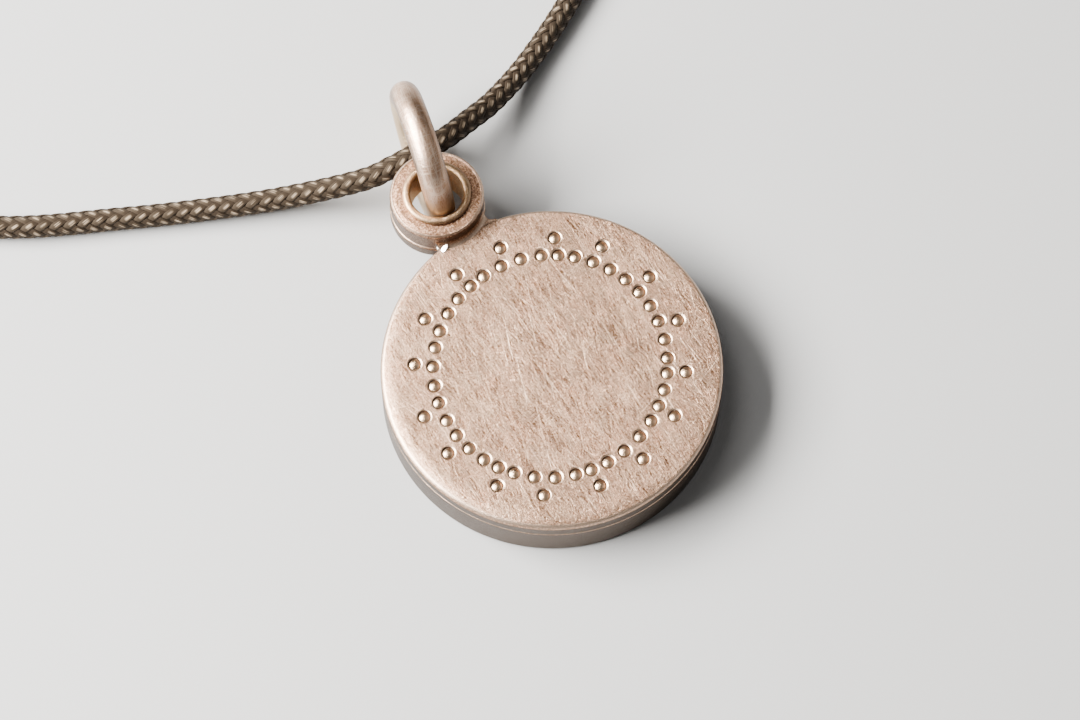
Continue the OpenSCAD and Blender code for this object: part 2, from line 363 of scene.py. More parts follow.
def brushed_silver(name, tint, roughness, painted_side_shade_share, corner_oxide_and_shade_share, wear_and_highlight_share, pitting):
    """Silver matted by hand with fine abrasive, mostly towards the eyelet and back.

    Crossed hairlines give a soft warm shine. Punched marks keep the burnish of the punch on their domes, and
    the groove round each dome is painted dark brown as shade.
    tint holds the colours of the two kinds of cloud, of light scratches and of dark ones."""
    material, tree, shader = new_material(name)
    cloud_warm, cloud_grey, scratch_light, scratch_dark = [linear(colour) for colour in tint]
    where = object_mm(tree)
    bend = add(tree, "ShaderNodeTexNoise", {"Vector": where, "Scale": 0.2, "Detail": 1.0}).outputs["Color"]
    bent = add(tree, "ShaderNodeVectorMath", {
        0: bend, 1: (STROKE_BEND, STROKE_BEND, 0), 2: where}, operation="MULTIPLY_ADD").outputs[0]
    fine = scratches(tree, bent, FINE_STROKES, width=0.05, length=2.4, share=0.4)
    dark = scratches(tree, bent, DARK_STROKES, width=0.06, length=2.2, share=0.4)
    long = scratches(tree, bent, LONG_STROKES, width=0.08, length=5.0, share=0.3)
    burnished = add(tree, "ShaderNodeAttribute", attribute_name="burnished").outputs["Fac"]
    on_knuckle, stain = round_the_eyelet(tree, where)
    strokes = add(tree, "ShaderNodeMath", {
        0: on_knuckle, 1: -0.7, 2: 1.0}, operation="MULTIPLY_ADD").outputs[0]
    grain = add(tree, "ShaderNodeTexNoise", {
        "Vector": where, "Scale": GRAINS_PER_MM, "Detail": 2.0, "Roughness": 0.7}).outputs["Fac"]
    cloud = add(tree, "ShaderNodeTexNoise", {
        "Vector": where, "Scale": 0.6, "Detail": 4.0, "Roughness": 0.65}).outputs["Fac"]
    relief = add(tree, "ShaderNodeMath", {0: grain, 1: 1.5, 2: fine}, operation="MULTIPLY_ADD").outputs[0]
    relief = add(tree, "ShaderNodeMath", {0: long, 1: -0.8, 2: relief}, operation="MULTIPLY_ADD").outputs[0]
    worn = add(tree, "ShaderNodeMapRange", {"Value": burnished, "To Min": 1.0, "To Max": 0.8}).outputs[0]
    bump = add(tree, "ShaderNodeBump", {"Height": relief, "Strength": worn, "Distance": METAL_RELIEF * MM})
    cloud_share = add(tree, "ShaderNodeMapRange", {
        "Value": cloud, "From Min": 0.35, "From Max": 0.65}).outputs[0]
    colour = add(tree, "ShaderNodeMix", {
        0: cloud_share, 6: cloud_warm, 7: cloud_grey}, data_type="RGBA").outputs[2]
    speck = add(tree, "ShaderNodeMapRange", {
        "Value": grain, "From Min": 0.42, "From Max": 0.54, "To Min": 0.55, "To Max": 0.0}).outputs[0]
    spark = add(tree, "ShaderNodeMapRange", {
        "Value": grain, "From Min": 0.54, "From Max": 0.64, "To Max": 0.4}).outputs[0]
    pitted = add(tree, "ShaderNodeMath", {
        0: on_knuckle, 1: pitting, 2: 1.0}, operation="MULTIPLY_ADD").outputs[0]
    speck = add(tree, "ShaderNodeMath", {0: speck, 1: pitted}, operation="MULTIPLY").outputs[0]
    dark = add(tree, "ShaderNodeMath", {0: dark, 1: strokes}, operation="MULTIPLY").outputs[0]
    shade = add(tree, "ShaderNodeMath", {0: dark, 1: 0.8, 2: speck}, operation="MULTIPLY_ADD").outputs[0]
    shade = add(tree, "ShaderNodeMath", {0: shade, 1: stain}, operation="ADD").outputs[0]
    shaded = add(tree, "ShaderNodeMix", {0: shade, 6: colour, 7: scratch_dark}, data_type="RGBA").outputs[2]
    light = add(tree, "ShaderNodeMath", {0: long, 1: 0.7}, operation="MULTIPLY").outputs[0]
    light = add(tree, "ShaderNodeMath", {0: fine, 1: 0.55, 2: light}, operation="MULTIPLY_ADD").outputs[0]
    light = add(tree, "ShaderNodeMath", {0: light, 1: strokes, 2: spark}, operation="MULTIPLY_ADD").outputs[0]
    bright = add(tree, "ShaderNodeMix", {
        0: light, 6: shaded, 7: scratch_light}, data_type="RGBA").outputs[2]
    side = add(tree, "ShaderNodeMath", {
        0: on_knuckle, 1: -0.3 * painted_side_shade_share, 2: painted_side_shade_share}, operation="MULTIPLY_ADD").outputs[0]
    # Painted shade down the sides and in corners, partly tarnished brown there; a paler colour on tilted
    # edges, partly rubbing and partly a painted highlight
    aged_with_painted_light = edge_wear_and_painted_highlight(tree, tarnish_and_painted_shade(tree, bright, side, corner_oxide_and_shade_share, side_top=0.35), wear_and_highlight_share)
    # The dome of each mark keeps the punch's burnish; the groove round it is painted dark brown as shade
    kept = add(tree, "ShaderNodeMath", {0: burnished, 1: 0.6}, operation="MULTIPLY").outputs[0]
    groove = add(tree, "ShaderNodeMapRange", {
        "Value": burnished, "From Max": -1.0, "To Max": 0.8}).outputs[0]
    for share, tone in ((kept, "#e8c8a6"), (groove, "#553d2a")):
        aged_with_painted_light = add(tree, "ShaderNodeMix", {0: share, 6: aged_with_painted_light, 7: linear(tone)}, data_type="RGBA").outputs[2]
    rough = add(tree, "ShaderNodeMapRange", {
        "Value": cloud, "From Min": 0.3, "From Max": 0.7, "To Min": roughness - 0.03,
        "To Max": roughness + 0.03}).outputs[0]
    rough = add(tree, "ShaderNodeMath", {
        0: burnished, 1: -0.06, 2: rough}, operation="MULTIPLY_ADD").outputs[0]
    feed(tree, shader, {"Base Color": aged_with_painted_light, "Roughness": rough, "Normal": bump.outputs[0], "Metallic": 1.0})
    return material


def drawn_silver_wire(name):
    """Thick silver wire, drawn and then rubbed by hand: a broad soft highlight with a ragged edge."""
    material, tree, shader = new_material(name)
    along = add(tree, "ShaderNodeAttribute", attribute_name="wire").outputs["Vector"]
    where = object_mm(tree)
    streaks = scratches(tree, along, WIRE_STROKES, width=0.08, length=1.6, share=0.42)
    grain = add(tree, "ShaderNodeTexNoise", {
        "Vector": where, "Scale": GRAINS_PER_MM, "Detail": 2.0}).outputs["Fac"]
    dents = add(tree, "ShaderNodeTexNoise", {"Vector": where, "Scale": 1.6, "Detail": 2.0}).outputs["Fac"]
    relief = add(tree, "ShaderNodeMath", {0: grain, 1: 1.2, 2: streaks}, operation="MULTIPLY_ADD").outputs[0]
    relief = add(tree, "ShaderNodeMath", {0: dents, 1: 4.0, 2: relief}, operation="MULTIPLY_ADD").outputs[0]
    bump = add(tree, "ShaderNodeBump", {"Height": relief, "Strength": 1.0, "Distance": METAL_RELIEF * MM})
    colour = add(tree, "ShaderNodeMix", {
        0: streaks, 6: linear("#cfa98f"), 7: linear("#f3dac6")}, data_type="RGBA").outputs[2]
    height = add(tree, "ShaderNodeSeparateXYZ", {0: where}).outputs[2]
    foot = add(tree, "ShaderNodeMapRange", {
        "Value": height, "From Min": COLLAR_TOP + 1.4, "From Max": COLLAR_TOP - 0.4,
        "To Max": 0.75}).outputs[0]
    # Painted shade: the side of the wire that faces away from the key light is painted dark brown
    normal = add(tree, "ShaderNodeNewGeometry").outputs["Normal"]
    facing_away_from_key = add(tree, "ShaderNodeVectorMath", {
        0: normal, 1: from_picture(0.85, 0.5, 0)}, operation="DOT_PRODUCT").outputs["Value"]
    painted_shade_on_right = add(tree, "ShaderNodeMapRange", {"Value": facing_away_from_key, "From Max": 0.6, "To Max": 0.75}).outputs[0]
    colour = add(tree, "ShaderNodeMix", {
        0: painted_shade_on_right, 6: colour, 7: linear("#6e4f38")}, data_type="RGBA").outputs[2]
    # Painted shade down the wire's steep sides, with a little tarnished brown in its corners
    aged_with_painted_light = tarnish_and_painted_shade(tree, colour, painted_side_shade_share=0.6, corner_oxide_and_shade_share=0.1, side_top=0.5)
    aged_with_painted_light = add(tree, "ShaderNodeMix", {0: foot, 6: aged_with_painted_light, 7: linear("#e2c9a4")}, data_type="RGBA").outputs[2]
    feed(tree, shader, {"Base Color": aged_with_painted_light, "Roughness": 0.37, "Normal": bump.outputs[0], "Metallic": 1.0})
    return material


def braided_yarn(name):
    """Polyester filament yarn in dark grey taupe, sleeker on top of each float, where a pale fleck of
    highlight is painted on.
    """
    material, tree, shader = new_material(name)
    around = add(tree, "ShaderNodeAttribute", attribute_name="yarn").outputs["Vector"]
    filaments = add(tree, "ShaderNodeTexNoise", {
        "Vector": around, "Scale": 1.0, "Detail": 3.0}).outputs["Fac"]
    on_top = add(tree, "ShaderNodeAttribute", attribute_name="on_top").outputs["Fac"]
    across = add(tree, "ShaderNodeSeparateXYZ", {0: around}).outputs[1]
    across = add(tree, "ShaderNodeMath", {0: across, 1: across}, operation="MULTIPLY").outputs[0]
    ridge = add(tree, "ShaderNodeMapRange", {"Value": across, "From Min": 5.0, "From Max": 0.3}).outputs[0]
    # Painted highlight: the top of each float is painted pale cream as a fleck of light, and is made less
    # rough there
    rubbed = add(tree, "ShaderNodeMapRange", {"Value": on_top, "From Min": 0.66}).outputs[0]
    rubbed = add(tree, "ShaderNodeMath", {0: rubbed, 1: ridge}, operation="MULTIPLY").outputs[0]
    streaky = add(tree, "ShaderNodeMapRange", {
        "Value": filaments, "From Min": 0.42, "From Max": 0.62}).outputs[0]
    rubbed = add(tree, "ShaderNodeMath", {0: rubbed, 1: streaky}, operation="MULTIPLY").outputs[0]
    rough = add(tree, "ShaderNodeMapRange", {"Value": rubbed, "To Min": 0.75, "To Max": 0.4}).outputs[0]
    colour = add(tree, "ShaderNodeMix", {
        0: filaments, 6: linear("#17110c"), 7: linear("#302720")}, data_type="RGBA").outputs[2]
    colour = add(tree, "ShaderNodeMix", {
        0: rubbed, 6: colour, 7: linear("#b09d87")}, data_type="RGBA").outputs[2]
    bump = add(tree, "ShaderNodeBump", {
        "Height": filaments, "Strength": 1.0, "Distance": FILAMENT_RELIEF * MM})
    lay = add(tree, "ShaderNodeAttribute", attribute_name="lay").outputs["Vector"]
    feed(tree, shader, {
        "Base Color": colour, "Roughness": rough, "Normal": bump.outputs[0], "Tangent": lay, "IOR": 1.5,
        "Anisotropic": 0.5, "Anisotropic Rotation": 0.25, "Specular Tint": linear("#cdbda6")})
    return material


# Turned and joined metal

def rounded(corners, steps=6, hold=0.03):
    """Outline with its corners rounded. corners are (radius, height, rounding).

    A short straight stretch is held beside each arc, so that flat faces stay flat to the eye."""
    points = []
    count = len(corners)
    for i, (r, z, rounding) in enumerate(corners):
        here = Vector((r, z))
        if rounding <= 0:
            points.append(here)
            continue
        back = (Vector(corners[i - 1][:2]) - here).normalized()
        ahead = (Vector(corners[(i + 1) % count][:2]) - here).normalized()
        half = back.angle(ahead) / 2
        reach = rounding / math.tan(half)
        centre = here + (back + ahead).normalized() * (rounding / math.sin(half))
        first = here + back * reach - centre
        last = here + ahead * reach - centre
        points.append(here + back * (reach + hold))
        for k in range(steps + 1):
            points.append(centre + first.slerp(last, k / steps) * rounding)
        points.append(here + ahead * (reach + hold))
    return points


def turned(corners, at=Vector((0, 0, 0)), segments=192, steps=6):
    """A turned solid as a bmesh: a closed outline swept once round the upright line through at."""
    bm = bmesh.new()
    rings = []
    for r, z in rounded(corners, steps):
        if r < 1e-6:
            rings.append([bm.verts.new((at + Vector((0, 0, z))) * MM)])
            continue
        rings.append([bm.verts.new((at + Vector((r * math.cos(FULL * k / segments),
                                                 r * math.sin(FULL * k / segments), z))) * MM)
                      for k in range(segments)])
    for a, b in zip(rings, rings[1:] + rings[:1]):
        for k in range(segments):
            n = (k + 1) % segments
            corner_set = [a[k % len(a)], a[n % len(a)], b[n % len(b)], b[k % len(b)]]
            face = list(dict.fromkeys(corner_set))
            if len(face) > 2:
                bm.faces.new(face)
    bmesh.ops.recalc_face_normals(bm, faces=bm.faces)
    return bm


def block(low, high, rounding):
    """A box with rounded edges as a bmesh, from its lowest to its highest corner."""
    bm = bmesh.new()
    bmesh.ops.create_cube(bm, size=1)
    size = high - low
    for v in bm.verts:
        v.co = Vector([(low[i] + high[i]) / 2 + v.co[i] * size[i] for i in range(3)]) * MM
    bmesh.ops.bevel(bm, geom=bm.edges[:], offset=rounding * MM, segments=4, profile=0.5, affect="EDGES")
    bmesh.ops.recalc_face_normals(bm, faces=bm.faces)
    return bm


def as_object(name, bm):
    """The bmesh as an object of that name."""
    mesh = bpy.data.meshes.new(name)
    bm.to_mesh(mesh)
    bm.free()
    return in_scene(name, mesh)


def baked(piece):
    """The piece with its modifiers made part of a plain mesh."""
    name = piece.name
    graph = bpy.context.evaluated_depsgraph_get()
    mesh = bpy.data.meshes.new_from_object(piece.evaluated_get(graph), preserve_all_data_layers=True,
                                           depsgraph=graph)
    bpy.data.objects.remove(piece)
    mesh.name = name
    return in_scene(name, mesh)


def joined(piece, tool_bm, operation):
    """Joins a solid to the piece, or cuts it out."""
    tool = as_object("tool", tool_bm)
    cut = piece.modifiers.new("cut", "BOOLEAN")
    cut.operation = operation
    cut.solver = "MANIFOLD"
    cut.object = tool
    result = baked(piece)
    bpy.data.objects.remove(tool)
    return result


def finished(piece, material, sharp_degrees=15):
    """Shades round what is round, keeps crisp edges crisp, and gives the piece its material."""
    hair = 0.0002 * MM
    bm = bmesh.new()
    bm.from_mesh(piece.data)
    bmesh.ops.remove_doubles(bm, verts=bm.verts, dist=hair)
    bmesh.ops.dissolve_degenerate(bm, edges=bm.edges, dist=hair)
    bmesh.ops.recalc_face_normals(bm, faces=bm.faces)
    for face in bm.faces:
        face.smooth = True
    limit = math.radians(sharp_degrees)
    for edge in bm.edges:
        edge.smooth = len(edge.link_faces) == 2 and edge.calc_face_angle(0) < limit
    bm.to_mesh(piece.data)
    bm.free()
    piece.data.materials.clear()
    piece.data.materials.append(material)
    return piece


def lower_knuckle():
    """The base's knuckle. It stands out a little past the upper one, and its edges are rubbed round."""
    proud = 0.05
    r = KNUCKLE_R + proud
    return turned([(KNUCKLE_BORE_R, LOWER_KNUCKLE_Z, 0.03), (r, LOWER_KNUCKLE_Z, KNUCKLE_EDGE),
                   (r, SPLIT_Z, 0.2), (KNUCKLE_BORE_R, SPLIT_Z, 0.05)], EYELET_AT, 192, 9)


def rub_left_edge(bm, centre, r, top, width, drop):
    """Rubs the top edge of a turned piece softer on its left side."""
    for v in bm.verts:
        out = (v.co / MM - centre).xy
        reach = max(0, out.length - r + width) / width
        if reach and v.co.z / MM > top - WORN_DEPTH:
            v.co.z -= drop * reach ** 2 * max(0, out.normalized().dot(WORN_SIDE)) ** 0.7 * MM


def upper_knuckle():
    """The lid's knuckle. Filing left a thin burr round its top edge, which is rubbed away on the left."""
    low = SPLIT_Z + GAP
    burr = 0.03
    worn_width = 0.6
    profile = [(KNUCKLE_BORE_R, low, 0.03), (KNUCKLE_R, low, 0.12), (KNUCKLE_R, KNUCKLE_TOP - 0.1, 0.2),
               (KNUCKLE_R - 0.16, KNUCKLE_TOP + burr, 0.03), (KNUCKLE_R - 0.26, KNUCKLE_TOP, 0.03)]
    bands = [(KNUCKLE_R - worn_width * k / 6, KNUCKLE_TOP, 0) for k in (4, 5, 6)]
    bm = turned(profile + bands + [(KNUCKLE_BORE_R, KNUCKLE_TOP, 0.05)], EYELET_AT, 192, 7)
    rub_left_edge(bm, EYELET_AT, KNUCKLE_R, KNUCKLE_TOP, worn_width, drop=0.16)
    return bm


def rod(at, r, z0, z1, segments):
    """A plain upright rod, to cut with."""
    return turned([(0, z0, 0), (r, z0, 0), (r, z1, 0), (0, z1, 0)], at, segments)


def web(z0, z1):
    """The soldered web between a plate and its knuckle. The solder drew into a hollow curve at both ends."""
    low = Vector((-2.02, CASE_R - 0.7, z0))
    high = Vector((2.8, CASE_R + 0.6, z1))
    piece = as_object("web", block(low, high, 0.02))
    for side, hollow in ((-1, 0.25), (1, 0.6)):
        from_case = CASE_R + hollow
        from_eyelet = KNUCKLE_R + hollow
        y = (from_case ** 2 - from_eyelet ** 2 + EYELET_AT.y ** 2) / (2 * EYELET_AT.y)
        x = side * math.sqrt(from_case ** 2 - y ** 2)
        piece = joined(piece, rod(Vector((x, y, 0)), hollow, z0 - PAST, z1 + PAST, 96), "DIFFERENCE")
    return piece


def solder_up_the_wall():
    """The tool that leaves the web's top as a hollow curve up the wall of the upper knuckle."""
    hollow = 0.6
    sunk = 0.04
    outside = KNUCKLE_R + 2
    steps = 8
    arc = [(KNUCKLE_R + hollow - hollow * math.sin(math.pi / 2 * k / steps),
            FACE_Z + hollow - hollow * math.cos(math.pi / 2 * k / steps) - sunk, 0) for k in range(steps + 1)]
    return turned([(0, SPLIT_Z, 0), (outside, SPLIT_Z, 0), (outside, FACE_Z - sunk, 0)] + arc
                  + [(0, FACE_Z + hollow - sunk, 0)], EYELET_AT, 192)


def as_tool(piece):
    """The piece's mesh as a bmesh. The object itself goes."""
    bm = bmesh.new()
    bm.from_mesh(piece.data)
    bpy.data.objects.remove(piece)
    return bm


# The punched marks

def input_key(tree, name):
    """The identifier of a node tree's input with that name."""
    return next(s.identifier for s in tree.interface.items_tree if s.item_type == "SOCKET"
                and s.in_out == "INPUT" and s.name == name)


def new_tree(name, inputs):
    """A geometry node tree with its group input and output, and the named inputs that it takes."""
    tree = bpy.data.node_groups.new(name, "GeometryNodeTree")
    tree.interface.new_socket("Geometry", in_out="INPUT", socket_type="NodeSocketGeometry")
    tree.interface.new_socket("Geometry", in_out="OUTPUT", socket_type="NodeSocketGeometry")
    for label, kind in inputs.items():
        tree.interface.new_socket(label, in_out="INPUT", socket_type=kind)
    return tree, tree.nodes.new("NodeGroupInput"), tree.nodes.new("NodeGroupOutput")


def ended(tree, given, result, geometry):
    """Ends a node tree: its geometry is made real and gets the given material."""
    real = add(tree, "GeometryNodeRealizeInstances", {"Geometry": geometry})
    coated = add(tree, "GeometryNodeSetMaterial", {
        "Geometry": real.outputs[0], "Material": given.outputs["Material"]})
    tree.links.new(coated.outputs[0], result.inputs[0])
    return tree


def grown(piece, tree, values):
    """Runs a node tree on the piece and returns the plain mesh that it makes."""
    modifier = piece.modifiers.new(tree.name, "NODES")
    modifier.node_group = tree
    for name, value in values.items():
        modifier[input_key(tree, name)] = value
    return baked(piece)


def punch_tree():
    """Sets a punch on every mark, each struck a little differently, and cuts them all out of the lid."""
    tree, given, result = new_tree("punched_rows", {
        "Lid": "NodeSocketObject", "Punch": "NodeSocketObject", "Seed": "NodeSocketInt",
        "Depth spread": "NodeSocketFloat", "Tilt": "NodeSocketFloat", "Material": "NodeSocketMaterial"})
    g = given.outputs
    lid = add(tree, "GeometryNodeObjectInfo", {"Object": g["Lid"]})
    punch = add(tree, "GeometryNodeObjectInfo", {"Object": g["Punch"]})
    low = add(tree, "ShaderNodeMath", {0: g["Tilt"], 1: -1.0}, operation="MULTIPLY").outputs[0]
    lean_low = add(tree, "ShaderNodeCombineXYZ", {0: low, 1: low, 2: -math.pi}).outputs[0]
    lean_high = add(tree, "ShaderNodeCombineXYZ", {0: g["Tilt"], 1: g["Tilt"], 2: math.pi}).outputs[0]
    lean = add(tree, "FunctionNodeRandomValue", {
        0: lean_low, 1: lean_high, "Seed": g["Seed"]}, data_type="FLOAT_VECTOR").outputs[0]
    deep_low = add(tree, "ShaderNodeMath", {0: g["Depth spread"], 1: -1.0}, operation="MULTIPLY").outputs[0]
    deep = add(tree, "FunctionNodeRandomValue", {
        2: deep_low, 3: g["Depth spread"], "Seed": g["Seed"]}, data_type="FLOAT").outputs[1]
    shift = add(tree, "ShaderNodeCombineXYZ", {2: deep}).outputs[0]
    struck = add(tree, "GeometryNodeSetPosition", {"Geometry": g["Geometry"], "Offset": shift})
    placed = add(tree, "GeometryNodeInstanceOnPoints", {
        "Points": struck.outputs[0], "Instance": punch.outputs["Geometry"], "Rotation": lean})
    real = add(tree, "GeometryNodeRealizeInstances", {"Geometry": placed.outputs[0]})
    bare = add(tree, "GeometryNodeStoreNamedAttribute", {
        "Geometry": lid.outputs["Geometry"], "Name": "burnished", "Value": 0.0}, data_type="FLOAT",
        domain="FACE")
    cut = add(tree, "GeometryNodeMeshBoolean", {
        "Mesh 1": bare.outputs[0], "Mesh 2": real.outputs[0]}, operation="DIFFERENCE", solver="MANIFOLD")
    return ended(tree, given, result, cut.outputs[0])


def punch_tool():
    """The end of the punch: a cup that leaves a polished dome in a round groove."""
    dome_r = 0.37
    dome_h = 0.14
    floor_z = -0.18
    steps = 8
    corners = [(0, 0.12, 0)]
    for k in range(steps + 1):
        share = k / steps
        corners.append((dome_r * share, -0.015 - dome_h * share ** 2, 0))
    corners += [(dome_r + 0.012, floor_z * 0.85, 0), (dome_r + 0.025, floor_z, 0),
                (dome_r + 0.07, floor_z, 0), (dome_r + 0.09, -0.06, 0), (dome_r + 0.14, -0.026, 0),
                (MARK_R - 0.015, -0.005, 0), (MARK_R, 0.004, 0), (MARK_R + 0.001, 0.12, 0)]
    bm = turned(corners, segments=48)
    burnish = bm.faces.layers.float.new("burnished")
    for face in bm.faces:
        r = face.calc_center_median().xy.length / MM
        if r < dome_r:
            face[burnish] = 1.0
        # The groove is marked -1, and the silver material paints it dark brown as shade
        elif r < dome_r + 0.08:
            face[burnish] = -1.0
        else:
            face[burnish] = 0.3
    return bm


def mark_points():
    """A piece with nothing but one vertex at each mark."""
    bm = bmesh.new()
    for headings, row_r in ((INNER_MARKS, INNER_ROW_R), (OUTER_MARKS, OUTER_ROW_R)):
        for heading in headings:
            a = math.radians(heading)
            oval = math.cos(2 * (a - math.radians(MARKS_OVAL_HEADING)))
            r = row_r + MARKS_OFF_CENTRE * math.cos(a) + MARKS_OVAL * oval
            bm.verts.new(Vector((r * math.sin(a), r * math.cos(a), FACE_Z)) * MM)
    return as_object("lid_plate", bm)


# The pieces

def build_lid(silver):
    """The lid with its web and knuckle, worn at the left, and the marks cut in by the punch."""
    bands = [(CASE_R - WORN_WIDTH * k / 6, FACE_Z, 0) for k in range(2, 7)]
    bm = turned([(0, LID_LOW.z, 0), (CASE_R, LID_LOW.z, SEAM_R), (CASE_R, FACE_Z, EDGE_R)]
                + bands + [(0, FACE_Z, 0)], segments=256)
    rub_left_edge(bm, Vector((0, 0, 0)), CASE_R, FACE_Z, WORN_WIDTH, WORN_DROP)
    plate = as_object("plate", bm)
    plate = joined(plate, rod(EYELET_AT, RELIEF_R, LID_LOW.z - PAST, SPLIT_Z + GAP, 144), "DIFFERENCE")
    web_top = KNUCKLE_TOP - 0.4
    solder = joined(web(SPLIT_Z + GAP, web_top), solder_up_the_wall(), "INTERSECT")
    plate = joined(plate, as_tool(solder), "UNION")
    plate = joined(plate, upper_knuckle(), "UNION")
    punch = as_object("punch", punch_tool())
    lid = grown(mark_points(), punch_tree(), {"Lid": plate, "Punch": punch, "Seed": 7,
                                              "Depth spread": 0.012 * MM, "Tilt": math.radians(2.5),
                                              "Material": silver})
    bpy.data.objects.remove(plate)
    bpy.data.objects.remove(punch)
    finished(lid, silver)
    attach(lid, "lid")
    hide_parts("lid")


def build_solder_drop(solder):
    """The drop of solder at the left end of the web: a flat-topped bead that faces the light."""
    bm = bmesh.new()
    bmesh.ops.create_uvsphere(bm, u_segments=32, v_segments=20, radius=1)
    flat_top, belly = 0.12, 0.7
    for v in bm.verts:
        v.co.z *= flat_top if v.co.z > 0 else belly
    facing = from_picture(-0.42, -0.16, 0.89).to_track_quat("Z", "Y").to_matrix().to_4x4()
    place = Matrix.Translation(Vector((-1.54, 11.91, FACE_Z + 0.05)) * MM)
    size = Matrix.Diagonal(Vector((0.48, 0.45, 0.36)) * MM).to_4x4()
    bmesh.ops.transform(bm, matrix=place @ facing @ size, verts=bm.verts)
    drop = finished(as_object("solder_drop", bm), solder, sharp_degrees=60)
    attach(drop, "lid")
    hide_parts("lid")


def build_case(silver):
    """The shallow box with its web, its knuckle and the countersink under it."""
    inside = CASE_R - WALL
    case = as_object("case_box", turned([(0, 0, 0), (CASE_R, 0, EDGE_R), (CASE_R, SEAM_Z, SEAM_R),
                                         (inside, SEAM_Z, 0.05), (inside, FLOOR_H, 0.2), (0, FLOOR_H, 0)],
                                        segments=256))
    case = joined(case, as_tool(web(LOWER_KNUCKLE_Z, SEAM_Z)), "UNION")
    case = joined(case, lower_knuckle(), "UNION")
    mouth_z = LOWER_KNUCKLE_Z - 0.2
    throat_z = LOWER_KNUCKLE_Z + COUNTERSINK_H
    countersink = turned([(0, mouth_z, 0), (KNUCKLE_BORE_R + 0.48, mouth_z, 0), (KNUCKLE_BORE_R, throat_z, 0),
                          (0, throat_z, 0)], EYELET_AT, 144)
    case = joined(case, countersink, "DIFFERENCE")
    finished(case, silver)
    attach(case, "case")
    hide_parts("base_case")


def build_eyelet(silver):
    """The tube, flared below in the countersink and closed above by its rounded collar."""
    lip_z = KNUCKLE_TOP + GAP
    foot_z = EYELET_LOW.z
    flare_z = foot_z + COUNTERSINK_H
    tube = as_object("eyelet_tube", turned([
        (BORE_R, flare_z, 0.1), (BORE_R + 0.2, foot_z, 0.05), (PIN_R + 0.28, foot_z, 0.03),
        (PIN_R, flare_z, 0.1), (PIN_R, lip_z, 0), (COLLAR_R, lip_z, 0.06), (COLLAR_R, COLLAR_TOP, 0.26),
        (BORE_R, COLLAR_TOP, 0.22)], EYELET_AT, 192, 9))
    finished(tube, silver)
    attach(tube, "case")
    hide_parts("eyelet")


def build_ring(silver):
    """The wire ring: a torus stood in the eyelet, with the small unevenness of hand-closed wire."""
    around, across = 192, 40
    uneven = 0.012
    bm = bmesh.new()
    rings = []
    for i in range(around):
        a = FULL * i / around
        ring = []
        for k in range(across):
            b = FULL * k / across
            out = Vector((math.cos(a), math.sin(a), 0))
            core = out * RING_R
            skin = out * math.cos(b) + Vector((0, 0, math.sin(b)))
            wear = uneven * noise.noise((core + skin) * 0.9)
            ring.append(bm.verts.new((core + skin * (WIRE_R + wear - uneven / 2)) * MM))
        rings.append(ring)
    for a, b in zip(rings, rings[1:] + rings[:1]):
        for k in range(across):
            n = (k + 1) % across
            bm.faces.new((a[k], b[k], b[n], a[n]))
    place = (Matrix.Translation(EYELET_AT * MM) @ Matrix.Rotation(-RING_HEADING, 4, "Z")
             @ Matrix.Translation(Vector((0, RING_OUT, RING_Z)) * MM)
             @ Matrix.Rotation(math.pi / 2 - RING_LEAN, 4, "Y"))
    bmesh.ops.transform(bm, matrix=place, verts=bm.verts)
    bmesh.ops.recalc_face_normals(bm, faces=bm.faces)
    ring = finished(as_object("bail_ring", bm), silver)
    measure = ring.data.attributes.new("wire", "FLOAT_VECTOR", "POINT")
    for number, item in enumerate(measure.data):
        along, round_it = divmod(number, across)
        from_seam = abs(round_it - across / 2)
        item.vector = (RING_R * FULL * along / around, WIRE_R * from_seam * FULL / across, 0)
    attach(ring, "case")
    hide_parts("bail")


def build_clasp(silver):
    """The plain sleeve with rounded ends."""
    length = CLASP_HIGH.x - CLASP_LOW.x
    r = (CLASP_HIGH.z - CLASP_LOW.z) / 2
    end_r = 0.3
    bm = turned([(0, 0, 0), (r, 0, end_r), (r, length, end_r), (0, length, 0)], segments=64)
    place = Matrix.Translation(Vector((CLASP_LOW.x, (CLASP_LOW.y + CLASP_HIGH.y) / 2, r)) * MM)
    bmesh.ops.transform(bm, matrix=place @ Matrix.Rotation(math.pi / 2, 4, "Y"), verts=bm.verts)
    sleeve = finished(as_object("clasp_sleeve", bm), silver)
    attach(sleeve, "case")
    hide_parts("clasp")


# The cord

def between(points, i, t):
    """The point at t between two route points, on a smooth curve through them all."""
    a, b, c, d = (points[min(max(i + k, 0), len(points) - 1)] for k in (-1, 0, 1, 2))
    return b + t / 2 * (c - a + t * (2 * a - 5 * b + 4 * c - d + t * (3 * b - a - 3 * c + d)))


def cord_line():
    """The cord's centre as a fine line mesh."""
    points = [Vector(p) + EYELET_AT for p in CORD_ROUTE]
    steps = 16
    line = [between(points, i, k / steps) for i in range(len(points) - 1) for k in range(steps)]
    line.append(points[-1])
    bm = bmesh.new()
    verts = [bm.verts.new(Vector((p.x, p.y, max(p.z, CORD_R))) * MM) for p in line]
    for a, b in zip(verts, verts[1:]):
        bm.edges.new((a, b))
    return bm


